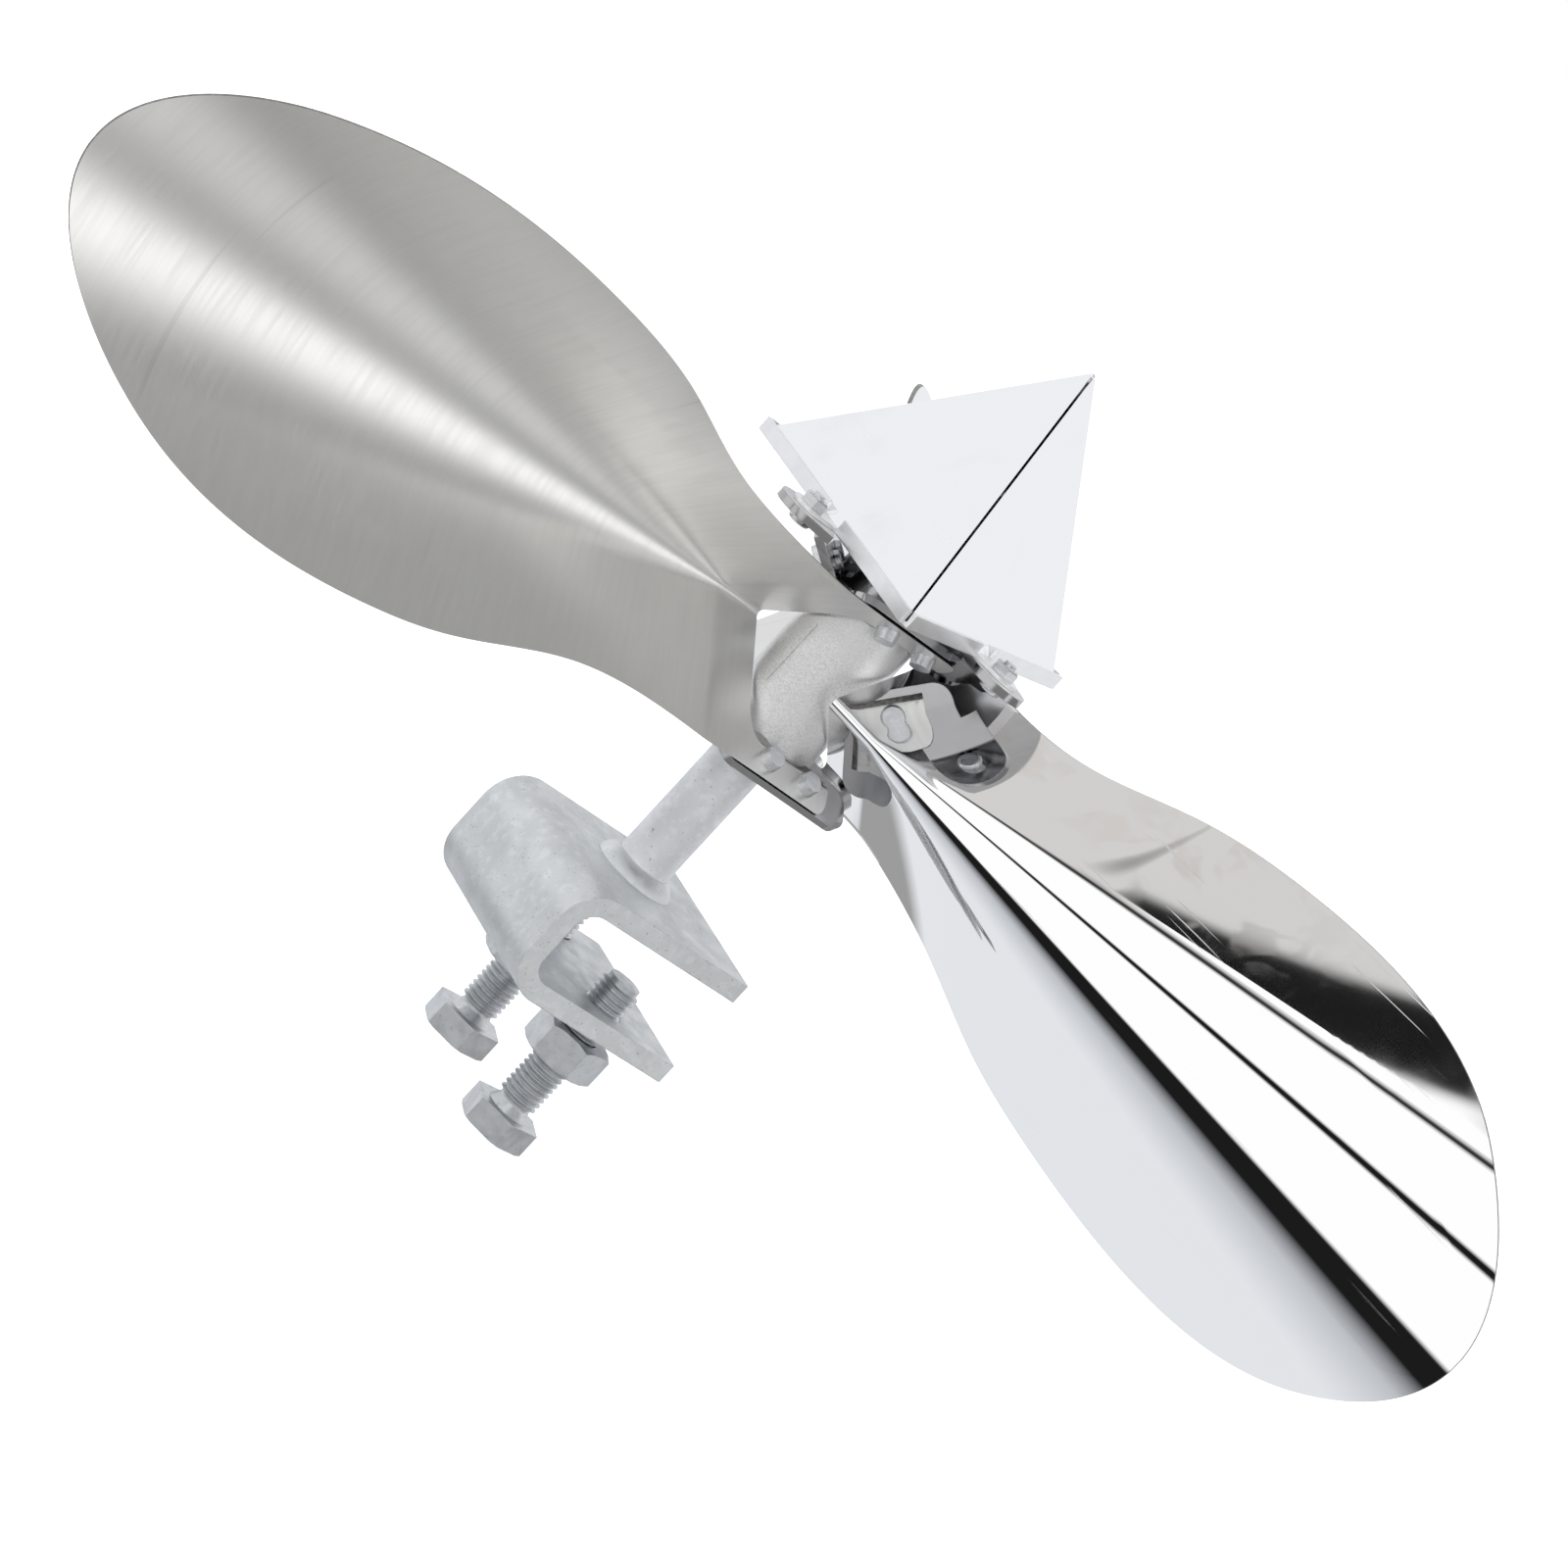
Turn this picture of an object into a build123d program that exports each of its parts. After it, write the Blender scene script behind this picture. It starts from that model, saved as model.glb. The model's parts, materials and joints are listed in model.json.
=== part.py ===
from build123d import *
from math import cos, hypot, radians, sin, sqrt, tan
import os

# Wind-driven reflector for a steel tower: a U-shaped clamp carries an upright spindle, and a hub on two
# ball bearings turns on it with three scoop blades and a three-sided mirror pyramid.
# Frame: millimetres, +Z up along the spindle. The origin is on the spindle's axis, in the underside of the
# clamp's upper leg, where the steel that the clamp grips lies. +X points out of the clamp's mouth.

# ---- Clamp bracket ----
plate_thickness = 5.0
jaw_gap = 20.0
bracket_front = 25.0  # mouth end, from the spindle's axis
bracket_back = -28.3  # outside of the web
bracket_right = -27.0
bracket_left = 24.0
inner_bend_radius = 5.0

# ---- Clamp bolts, M10 x 40 with lock nuts ----
thread_radius = 5.0
thread_pitch = 1.5
thread_depth = 0.92
bolt_length = 40.0
bolt_head_height = 6.4
bolt_head_flats = 16.0
lock_nut_height = 8.4
lock_nut_flats = 17.0
running_clearance = 0.05
bolt_x = 6.0
bolt_spread = 16.8  # each bolt's distance from the spindle's axis, along Y
front_tip_height = -12.2
back_tip_height = -8.7
front_nut_gap = 3.1  # the front lock nut has been run down this far from the leg

# ---- Spindle ----
rod_radius = 6.75
shoulder_radius = 5.75
journal_radius = 3.99
weld_leg = 3.6

# ---- Hub, all heights from the level of the blades' creases ----
blade_level = 67.75
tube_radius = 12.7
tube_bore_radius = 11.0
tube_half_length = 25.0
bearing_width = 7.0
lower_bearing_height = -22.0
upper_bearing_height = 13.0
ball_pitch_radius = 7.5
ball_radius = 1.96
ball_count = 7
cage_height = 5.0

# ---- Blades ----
blade_count = 3
first_blade_azimuth = 178.9
blade_radius = 217.8
sheet_thickness = 0.8
crease_offset = -13.9  # the crease passes behind the axis, seen from the hollow side
root_fold_angle = 58.0  # each wing's angle from upright, at the hub
outer_fold_angle = 42.0
crease_widening = 0.32  # bend radius gained per millimetre of radius
crease_apex_radius = 22.75
crease_least_radius = 1.2
straight_length = 20.0  # the neck keeps its fold as far as this, then the wings open
neck_half_height = 22.5
tab_length = 13.5  # how far the neck's two tabs pass beyond the axis
tab_inner_height = 18.1
neck_notch_reach = 13.4  # from the axis to the neck's inner edge, just clear of the hub tube
neck_notch_corner_radius = 5.0

# ---- Rivets, two for each tab ----
rivet_spacing = 12.2
rivet_height = 19.6
rivet_shank_radius = 1.5
rivet_head_radius = 2.8
rivet_head_height = 2.6

# ---- Petal brackets ----
petal_thickness = 2.0
petal_half_width = 20.0
petal_inner_reach = 6.0  # down the slope from the rivets, towards the tube
petal_outer_reach = 5.4
petal_corner_radius = 4.5
collar_radius = 13.3
collar_height = 5.0
ear_radius = 7.5
ear_circle_radius = 32.5
ear_top_height = 28.1
ear_slope_reach = 9.3  # up the slope from the rivets, where the ear bends level

# ---- Mirror pyramid ----
base_corner_radius = 53.0
base_thickness = 1.0
flange_height = 3.6
flange_notch = 9.0
base_centre_hole_radius = 12.0
corner_relief_radius = 1.6
lug_radius = 4.5
panel_foot_reach = 25.45  # from the axis to the middle of a panel's lower edge
pyramid_apex_height = 91.3
panel_thickness = 1.0
seam_half_gap = 0.3
screw_radius = 1.5
screw_hole_radius = 1.6
screw_head_radius = 2.8
screw_head_height = 1.9
screw_nut_flats = 5.5
screw_nut_height = 2.4

blade_azimuths = [first_blade_azimuth + 360 / blade_count * turn for turn in range(blade_count)]
hub_plane = Plane.XY.offset(blade_level)
hub_section = Plane(origin=(0, 0, blade_level), x_dir=(1, 0, 0), z_dir=(0, -1, 0))
os.makedirs("parts", exist_ok=True)


def save(builder, name):
    """Label a finished piece and write its STEP file."""
    builder.part.label = name
    export_step(builder.part, f"parts/{name}.step")


def ring(outer, inner, bottom, height):
    """A plain ring about the spindle's axis, with its bottom at a height above the blades' level."""
    with BuildPart() as body:
        with BuildSketch(hub_plane.offset(bottom)):
            Circle(outer)
            Circle(inner, mode=Mode.SUBTRACT)
        extrude(amount=height)
    return body


# ======================= Clamp bracket =======================
upper_leg_top = plate_thickness
lower_leg_top = -jaw_gap
lower_leg_bottom = -jaw_gap - plate_thickness
outer_bend_radius = inner_bend_radius + plate_thickness
front_bolt_place = (bolt_x, -bolt_spread)
back_bolt_place = (bolt_x, bolt_spread)

with BuildPart() as clamp_bracket:
    with BuildSketch(Plane.XZ.offset(-bracket_left)):
        with BuildLine():
            outside = FilletPolyline(
                (bracket_front, upper_leg_top),
                (bracket_back, upper_leg_top),
                (bracket_back, lower_leg_bottom),
                (bracket_front, lower_leg_bottom),
                radius=outer_bend_radius,
            )
            inside = FilletPolyline(
                (bracket_front, 0),
                (bracket_back + plate_thickness, 0),
                (bracket_back + plate_thickness, lower_leg_top),
                (bracket_front, lower_leg_top),
                radius=inner_bend_radius,
            )
            Line(outside @ 0, inside @ 0)
            Line(outside @ 1, inside @ 1)
        make_face()
    extrude(amount=bracket_left - bracket_right)
    with BuildSketch(Plane.XY.offset(lower_leg_bottom)):
        with Locations(front_bolt_place, back_bolt_place):
            Circle(thread_radius + running_clearance)
    extrude(amount=plate_thickness, mode=Mode.SUBTRACT)
    mouth_edges = clamp_bracket.edges().filter_by(Axis.Z).group_by(Axis.X)[-1]
    fillet(mouth_edges, radius=0.8)
save(clamp_bracket, "clamp_bracket")


# ======================= Clamp bolts and lock nuts =======================
def clamp_bolt(place, tip_height, name):
    """A hex set bolt, head down. Its thread is a stack of rings, so that it can slide in its hole."""
    head_top = tip_height - bolt_length
    core_radius = thread_radius - thread_depth
    turns = int((bolt_length - 4.0) / thread_pitch)
    with BuildPart() as bolt:
        with BuildSketch(Plane.XZ.offset(-place[1])):
            with BuildLine():
                outline = [(place[0], head_top), (place[0] + core_radius + 1.4, head_top)]
                outline.append((place[0] + core_radius, head_top + 2.2))
                for turn in range(turns):
                    base = tip_height - 1.2 - (turns - turn) * thread_pitch
                    outline.append((place[0] + core_radius, base + 0.15))
                    outline.append((place[0] + thread_radius, base + 0.66))
                    outline.append((place[0] + thread_radius, base + 0.84))
                    outline.append((place[0] + core_radius, base + 1.35))
                outline.append((place[0] + core_radius, tip_height))
                outline.append((place[0], tip_height))
                Polyline(*outline, close=True)
            make_face()
        revolve(axis=Axis((place[0], place[1], 0), (0, 0, 1)))
        with BuildSketch(Plane.XY.offset(head_top)):
            with Locations(place):
                RegularPolygon(bolt_head_flats / 2, 6, major_radius=False, rotation=12)
        extrude(amount=-bolt_head_height)
        head_cone = bolt_head_flats / 2 + 0.55
        with BuildSketch(Plane.XZ.offset(-place[1])):
            with BuildLine():
                Polyline(
                    (place[0], head_top - bolt_head_height),
                    (place[0] + head_cone, head_top - bolt_head_height),
                    (place[0] + head_cone + 1.9, head_top - bolt_head_height + 1.1),
                    (place[0] + head_cone + 1.9, tip_height),
                    (place[0], tip_height),
                    close=True,
                )
            make_face()
        revolve(axis=Axis((place[0], place[1], 0), (0, 0, 1)), mode=Mode.INTERSECT)
    save(bolt, name)


def lock_nut(place, top_height, name):
    """A plain hex nut with both ends chamfered, bored to run over the bolt's thread."""
    corner_cone = lock_nut_flats / 2 + 0.15
    middle = top_height - lock_nut_height / 2
    with BuildPart() as nut:
        with BuildSketch(Plane.XY.offset(top_height)):
            with Locations(place):
                RegularPolygon(lock_nut_flats / 2, 6, major_radius=False, rotation=20)
        extrude(amount=-lock_nut_height)
        with BuildSketch(Plane.XZ.offset(-place[1])):
            with BuildLine():
                Polyline(
                    (place[0] + thread_radius + running_clearance, top_height),
                    (place[0] + corner_cone, top_height),
                    (place[0] + corner_cone + 1.9, top_height - 1.1),
                    (place[0] + corner_cone + 1.9, 2 * middle - top_height + 1.1),
                    (place[0] + corner_cone, 2 * middle - top_height),
                    (place[0] + thread_radius + running_clearance, 2 * middle - top_height),
                    close=True,
                )
            make_face()
        revolve(axis=Axis((place[0], place[1], 0), (0, 0, 1)), mode=Mode.INTERSECT)
    save(nut, name)


clamp_bolt(front_bolt_place, front_tip_height, "front_bolt")
clamp_bolt(back_bolt_place, back_tip_height, "back_bolt")
lock_nut(front_bolt_place, lower_leg_bottom - front_nut_gap, "front_lock_nut")
lock_nut(back_bolt_place, lower_leg_bottom, "back_lock_nut")

# ======================= Spindle =======================
shoulder_height = blade_level + lower_bearing_height
spindle_top = blade_level + upper_bearing_height + bearing_width + 9.4

with BuildPart() as spindle:
    with BuildSketch(Plane.XZ):
        with BuildLine():
            Polyline(
                (0, upper_leg_top),
                (rod_radius, upper_leg_top),
                (rod_radius, shoulder_height - 1.5),
                (shoulder_radius, shoulder_height - 1.5),
                (shoulder_radius, shoulder_height),
                (journal_radius, shoulder_height),
                (journal_radius, spindle_top - 0.8),
                (journal_radius - 0.8, spindle_top),
                (0, spindle_top),
                close=True,
            )
        make_face()
    revolve(axis=Axis.Z)
save(spindle, "spindle")

with BuildPart() as weld_bead:
    with BuildSketch(Plane.XZ):
        with BuildLine():
            foot = (rod_radius + weld_leg, upper_leg_top)
            head = (rod_radius, upper_leg_top + weld_leg)
            crown = (rod_radius + 0.62 * weld_leg, upper_leg_top + 0.62 * weld_leg)
            Polyline(head, (rod_radius, upper_leg_top), foot)
            ThreePointArc(foot, crown, head)
        make_face()
    revolve(axis=Axis.Z)
save(weld_bead, "weld_bead")


# ======================= Bearings, 8 x 22 x 7 =======================
def ball_bearing(bottom, prefix):
    """Two grooved races, a ring of balls in a cage, and a shield on each side."""
    middle = bottom + bearing_width / 2
    groove_radius = ball_radius + 0.05
    for race, outer, inner in (("outer", tube_bore_radius - 0.01, 9.4), ("inner", 5.9, 4.0)):
        with BuildPart() as body:
            with BuildSketch(hub_plane.offset(bottom)):
                Circle(outer)
                Circle(inner, mode=Mode.SUBTRACT)
            extrude(amount=bearing_width)
            with BuildSketch(hub_section):
                with Locations((ball_pitch_radius, middle)):
                    Circle(groove_radius)
            revolve(axis=Axis.Z, mode=Mode.SUBTRACT)
        save(body, f"{prefix}_bearing_{race}_race")
    with BuildPart() as balls:
        with Locations((0, 0, blade_level + middle)):
            with PolarLocations(ball_pitch_radius, ball_count):
                Sphere(ball_radius)
    save(balls, f"{prefix}_bearing_balls")
    with BuildPart() as cage:
        with BuildSketch(hub_plane.offset(middle - cage_height / 2)):
            Circle(ball_pitch_radius + 0.5)
            Circle(ball_pitch_radius - 0.5, mode=Mode.SUBTRACT)
        extrude(amount=cage_height)
        with Locations((0, 0, blade_level + middle)):
            with PolarLocations(ball_pitch_radius, ball_count):
                Cylinder(ball_radius + 0.08, 4, rotation=(0, 90, 0), mode=Mode.SUBTRACT)
    save(cage, f"{prefix}_bearing_cage")
    with BuildPart() as shields:
        for height in (bottom + 0.3, bottom + bearing_width - 0.6):
            with BuildSketch(hub_plane.offset(height)):
                Circle(9.38)
                Circle(6.1, mode=Mode.SUBTRACT)
            extrude(amount=0.3)
    save(shields, f"{prefix}_bearing_shields")


ball_bearing(lower_bearing_height, "lower")
ball_bearing(upper_bearing_height, "upper")

spacer_bottom = lower_bearing_height + bearing_width
spacer_length = upper_bearing_height - spacer_bottom
upper_bearing_top = upper_bearing_height + bearing_width
save(ring(5.7, 4.02, spacer_bottom, spacer_length), "inner_spacer")
save(ring(tube_bore_radius - 0.02, 9.7, spacer_bottom, spacer_length), "outer_spacer")
save(ring(tube_bore_radius - 0.02, rod_radius + 0.35, -tube_half_length + 0.3, 2.4), "dust_seal")
save(ring(5.6, 4.02, upper_bearing_top, 1.6), "spindle_washer")

with BuildPart() as retaining_ring:
    with BuildSketch(hub_plane.offset(upper_bearing_top + 0.1)):
        Circle(tube_bore_radius + 0.45)
        Circle(9.2, mode=Mode.SUBTRACT)
        with Locations((0, 10)):
            Rectangle(5, 6, mode=Mode.SUBTRACT)
    extrude(amount=1.0)
save(retaining_ring, "retaining_ring")

with BuildPart() as spindle_nut:
    with BuildSketch(hub_plane.offset(upper_bearing_top + 1.6)):
        RegularPolygon(6.5, 6, major_radius=False)
        Circle(4.02, mode=Mode.SUBTRACT)
    extrude(amount=6.8)
    chamfer(spindle_nut.faces().sort_by(Axis.Z)[-1].edges().filter_by(GeomType.LINE), length=0.6)
save(spindle_nut, "spindle_nut")

# ======================= Hub tube and cap =======================
with BuildPart() as hub_tube:
    with BuildSketch(hub_plane.offset(-tube_half_length)):
        Circle(tube_radius)
        Circle(tube_bore_radius, mode=Mode.SUBTRACT)
    extrude(amount=2 * tube_half_length)
    with BuildSketch(hub_plane.offset(upper_bearing_top + 0.05)):
        Circle(tube_bore_radius + 0.5)
    extrude(amount=1.1, mode=Mode.SUBTRACT)
    seam_plane = Plane.XY.offset(blade_level - 8).rotated((0, 0, first_blade_azimuth + 17))
    with BuildSketch(seam_plane):
        with Locations((tube_radius, 0)):
            Rectangle(0.5, 0.35)
    extrude(amount=17, mode=Mode.SUBTRACT)
save(hub_tube, "hub_tube")

cap_top = upper_bearing_top + 12.0
with BuildPart() as hub_cap:
    with BuildSketch(hub_section):
        with BuildLine():
            Polyline(
                (0, cap_top - 1.2),
                (8.3, cap_top - 1.2),
                (8.3, tube_half_length - 3),
                (tube_bore_radius - 0.05, tube_half_length - 3),
                (tube_bore_radius - 0.05, tube_half_length),
                (tube_radius, tube_half_length),
                (tube_radius, tube_half_length + 1.2),
                (9.5, tube_half_length + 1.2),
                (9.5, cap_top - 1),
                (8.5, cap_top),
                (0, cap_top),
                close=True,
            )
        make_face()
    revolve(axis=Axis.Z)
save(hub_cap, "hub_cap")


# ======================= Blades =======================
def fold_angle(radius):
    """Each wing's angle from upright: closed up at the hub, flatter further out."""
    share = min(max((radius - straight_length) / 70, 0), 1)
    eased = share * share * (3 - 2 * share)
    return root_fold_angle + (outer_fold_angle - root_fold_angle) * eased


def crease_radius(radius):
    return max(crease_widening * (radius - crease_apex_radius), crease_least_radius)


def blade_section(radius, wing_length):
    """Closed profile across the folded sheet: wing, rounded crease, wing, and back along the outside."""
    angle = radians(fold_angle(radius))
    bend = crease_radius(radius)
    centre = crease_offset + bend
    sides = []
    for layer in (bend, bend + sheet_thickness):
        tangent = Vector(centre - layer * cos(angle), layer * sin(angle))
        wing_end = tangent + Vector(sin(angle), cos(angle)) * wing_length
        sides.append((wing_end, tangent, Vector(centre - layer, 0)))
    (hollow_end, hollow_tangent, hollow_mid), (back_end, back_tangent, back_mid) = sides
    Line(hollow_end, hollow_tangent)
    ThreePointArc(hollow_tangent, hollow_mid, (hollow_tangent.X, -hollow_tangent.Y))
    Line((hollow_tangent.X, -hollow_tangent.Y), (hollow_end.X, -hollow_end.Y))
    Line((hollow_end.X, -hollow_end.Y), (back_end.X, -back_end.Y))
    Line((back_end.X, -back_end.Y), (back_tangent.X, -back_tangent.Y))
    ThreePointArc((back_tangent.X, -back_tangent.Y), back_mid, back_tangent)
    Line(back_tangent, back_end)
    Line(back_end, hollow_end)


root_fold = radians(root_fold_angle)
root_line_offset = crease_offset + crease_least_radius * (1 - 1 / cos(root_fold))
rivet_reach = root_line_offset + tan(root_fold) * rivet_height

section_plane = Plane.YZ
with BuildPart() as blade_blank:
    for station in (straight_length, 42, 65, 95, 150, 222):
        with BuildSketch(section_plane.offset(station)):
            with BuildLine():
                blade_section(station, 85)
            make_face()
    loft()
    with BuildSketch(section_plane.offset(straight_length)):
        with BuildLine():
            blade_section(straight_length, 85)
        make_face()
    extrude(amount=-36)
    with BuildSketch(Plane.XZ.offset(-90)):
        with BuildLine():
            tip = (blade_radius, 0)
            tab_corner = (-tab_length + 4, neck_half_height)
            upper_edge = Spline(
                tab_corner,
                (12, neck_half_height),
                (35, 23.3),
                (60, 27.6),
                (85, 36.6),
                (112, 42.3),
                (150, 44.2),
                (195.9, 30.0),
                tip,
                tangents=[(1, 0), (0, -1)],
            )
            mirror(upper_edge, about=Plane.XZ)
            corner_arc = ThreePointArc(tab_corner, (-tab_length + 0.9, neck_half_height - 1.4), (-tab_length, 18.6))
            mirror(corner_arc, about=Plane.XZ)
            Line(corner_arc @ 1, ((corner_arc @ 1).X, -(corner_arc @ 1).Y))
        make_face()
    extrude(amount=180, mode=Mode.INTERSECT)
    with BuildSketch(Plane.XZ.offset(-90)):
        with Locations((neck_notch_reach - 20, 0)):
            RectangleRounded(40, 2 * tab_inner_height, neck_notch_corner_radius)
    extrude(amount=180, mode=Mode.SUBTRACT)
    for side in (1, -1):
        for along in (-rivet_spacing / 2, rivet_spacing / 2):
            rivet_plane = Plane(
                origin=(along, rivet_reach, side * rivet_height),
                x_dir=(1, 0, 0),
                z_dir=(0, cos(root_fold), -side * sin(root_fold)),
            )
            with BuildSketch(rivet_plane):
                Circle(rivet_shank_radius + 0.05)
            extrude(amount=4, both=True, mode=Mode.SUBTRACT)

for number, azimuth in enumerate(blade_azimuths, 1):
    with BuildPart() as blade:
        with Locations(Location((0, 0, blade_level), (0, 0, azimuth))):
            add(blade_blank.part)
    save(blade, f"blade_{number}")


# ======================= Rivets and petal brackets =======================
def tab_plane(azimuth, side, along=0.0, depth=0.0):
    """Plane on a tab's hollow face at its rivet line: x along the blade, y out along the slope, z off the hollow face."""
    outward = (sin(root_fold), cos(root_fold))
    local = Plane(
        origin=(along, rivet_reach - depth * outward[1], side * (rivet_height + depth * outward[0])),
        x_dir=(1, 0, 0) if side < 0 else (-1, 0, 0),
        z_dir=(0, outward[1], -side * outward[0]),
    )
    return Plane(Location((0, 0, blade_level), (0, 0, azimuth)) * local.location)


for side, prefix in ((1, "upper"), (-1, "lower")):
    with BuildPart() as rivets:
        for azimuth in blade_azimuths:
            for along in (-rivet_spacing / 2, rivet_spacing / 2):
                shank_length = sheet_thickness + petal_thickness
                with BuildSketch(tab_plane(azimuth, side, along)):
                    Circle(rivet_shank_radius)
                extrude(amount=-shank_length)
                with BuildSketch(tab_plane(azimuth, side, along)):
                    Circle(rivet_head_radius)
                extrude(amount=rivet_head_height, taper=7)
                with BuildSketch(tab_plane(azimuth, side, along, shank_length)):
                    Circle(rivet_head_radius - 0.4)
                extrude(amount=-1.2, taper=15)
    save(rivets, f"{prefix}_rivets")


ear_along = ear_circle_radius * cos(radians(360 / blade_count))
ear_out = ear_circle_radius * sin(radians(360 / blade_count))

for side, prefix in ((1, "upper"), (-1, "lower")):
    with BuildPart() as petal_bracket:
        for azimuth in blade_azimuths:
            with BuildSketch(tab_plane(azimuth, side, 0, sheet_thickness)):
                with BuildLine():
                    FilletPolyline(
                        (-petal_half_width, -petal_inner_reach),
                        (petal_half_width, -petal_inner_reach),
                        (petal_half_width, petal_outer_reach),
                        (-petal_half_width, petal_outer_reach),
                        close=True,
                        radius=petal_corner_radius,
                    )
                make_face()
                if side > 0:
                    with Locations((-ear_along, petal_outer_reach)):
                        Rectangle(2 * ear_radius, 2 * (ear_slope_reach - petal_outer_reach))
            extrude(amount=-petal_thickness)
            if side > 0:
                with BuildSketch(hub_plane.offset(ear_top_height).rotated((0, 0, azimuth))):
                    with Locations((ear_along, ear_out)):
                        Circle(ear_radius)
                    with Locations((ear_along, ear_out - ear_radius / 2)):
                        Rectangle(2 * ear_radius, ear_radius)
                extrude(amount=-petal_thickness)
        if side > 0:
            with BuildSketch(hub_plane):
                with PolarLocations(ear_circle_radius, blade_count, start_angle=first_blade_azimuth):
                    Circle(screw_hole_radius)
            extrude(amount=ear_top_height + 1, mode=Mode.SUBTRACT)
        collar_bottom = tube_half_length - collar_height if side > 0 else -tube_half_length
        with BuildSketch(hub_plane.offset(collar_bottom)):
            Circle(collar_radius)
        extrude(amount=collar_height)
        with BuildSketch(hub_plane.offset(-60)):
            Circle(tube_radius + 0.01)
        extrude(amount=120, mode=Mode.SUBTRACT)
        for azimuth in blade_azimuths:
            for along in (-rivet_spacing / 2, rivet_spacing / 2):
                with BuildSketch(tab_plane(azimuth, side, along)):
                    Circle(rivet_shank_radius + 0.05)
                extrude(amount=6, both=True, mode=Mode.SUBTRACT)
    save(petal_bracket, f"{prefix}_petal_bracket")

# ======================= Mirror pyramid =======================
base_bottom = ear_top_height
base_top = base_bottom + base_thickness
corner_azimuth = first_blade_azimuth + 180 / blade_count
base_inner_reach = base_corner_radius / 2

with BuildPart() as pyramid_base:
    with BuildSketch(hub_plane.offset(base_bottom)):
        RegularPolygon(base_corner_radius, 3, rotation=corner_azimuth)
        with PolarLocations(ear_circle_radius, blade_count, start_angle=first_blade_azimuth):
            Circle(lug_radius)
        with PolarLocations(base_inner_reach, blade_count, start_angle=first_blade_azimuth):
            Rectangle(2 * (ear_circle_radius - base_inner_reach), 2 * lug_radius)
        Circle(base_centre_hole_radius, mode=Mode.SUBTRACT)
        with PolarLocations(ear_circle_radius, blade_count, start_angle=first_blade_azimuth):
            Circle(screw_hole_radius, mode=Mode.SUBTRACT)
    extrude(amount=base_thickness)
    with BuildSketch(hub_plane.offset(base_bottom)):
        RegularPolygon(base_corner_radius, 3, rotation=corner_azimuth)
        RegularPolygon(base_corner_radius - 2 * base_thickness, 3, rotation=corner_azimuth, mode=Mode.SUBTRACT)
        with PolarLocations(base_inner_reach, blade_count, start_angle=first_blade_azimuth):
            Rectangle(6, flange_notch, mode=Mode.SUBTRACT)
    extrude(amount=flange_height)
    with BuildSketch(hub_plane.offset(base_bottom)):
        with PolarLocations(base_corner_radius - 0.8, blade_count, start_angle=corner_azimuth):
            Circle(corner_relief_radius)
    extrude(amount=flange_height, mode=Mode.SUBTRACT)
save(pyramid_base, "pyramid_base")

panel_rise = pyramid_apex_height - base_top
panel_slope_length = hypot(panel_rise, panel_foot_reach)
half_foot = panel_foot_reach * sqrt(3)
wedge_depth = 60.0

for number, azimuth in enumerate(blade_azimuths, 1):
    face_plane = Plane(
        origin=(panel_foot_reach, 0, blade_level + base_top),
        x_dir=(0, 1, 0),
        z_dir=(panel_rise, 0, panel_foot_reach),
    )
    with BuildPart() as panel_blank:
        with BuildSketch(face_plane):
            with BuildLine():
                Polyline((-half_foot, 0), (half_foot, 0), (0, panel_slope_length), close=True)
            make_face()
        extrude(amount=-panel_thickness)
        with BuildSketch(hub_plane.offset(base_top)):
            with BuildLine():
                near = (2 * seam_half_gap / sqrt(3), 0)
                spread = (wedge_depth - near[0]) * sqrt(3)
                Polyline(near, (wedge_depth, spread), (wedge_depth, -spread), close=True)
            make_face()
        extrude(amount=panel_rise + 1, mode=Mode.INTERSECT)
    with BuildPart() as panel:
        with Locations(Location((0, 0, 0), (0, 0, azimuth))):
            add(panel_blank.part)
    save(panel, f"pyramid_panel_{number}")

# ======================= Pyramid screws and nuts =======================
screw_head_top = ear_top_height - petal_thickness
screw_tip = base_top + screw_nut_height + 0.8

with BuildPart() as pyramid_screws:
    with BuildSketch(hub_plane.offset(screw_head_top)):
        with PolarLocations(ear_circle_radius, blade_count, start_angle=first_blade_azimuth):
            Circle(screw_head_radius)
    extrude(amount=-screw_head_height)
    fillet(pyramid_screws.edges().group_by(Axis.Z)[0], radius=0.9)
    with BuildSketch(hub_plane.offset(screw_head_top)):
        with PolarLocations(ear_circle_radius, blade_count, start_angle=first_blade_azimuth):
            Circle(screw_radius)
    extrude(amount=screw_tip - screw_head_top)
save(pyramid_screws, "pyramid_screws")

with BuildPart() as pyramid_nuts:
    with BuildSketch(hub_plane.offset(base_top)):
        with PolarLocations(ear_circle_radius, blade_count, start_angle=first_blade_azimuth):
            RegularPolygon(screw_nut_flats / 2, 6, major_radius=False)
            Circle(screw_radius + 0.01, mode=Mode.SUBTRACT)
    extrude(amount=screw_nut_height)
    chamfer(pyramid_nuts.faces().sort_by(Axis.Z)[-3:].edges().filter_by(GeomType.LINE), length=0.35)
save(pyramid_nuts, "pyramid_nuts")
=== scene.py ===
import json
from math import asin, cos, pi, radians, sin

import bmesh
import bpy
import numpy as np
from mathutils import Matrix, Vector


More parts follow.
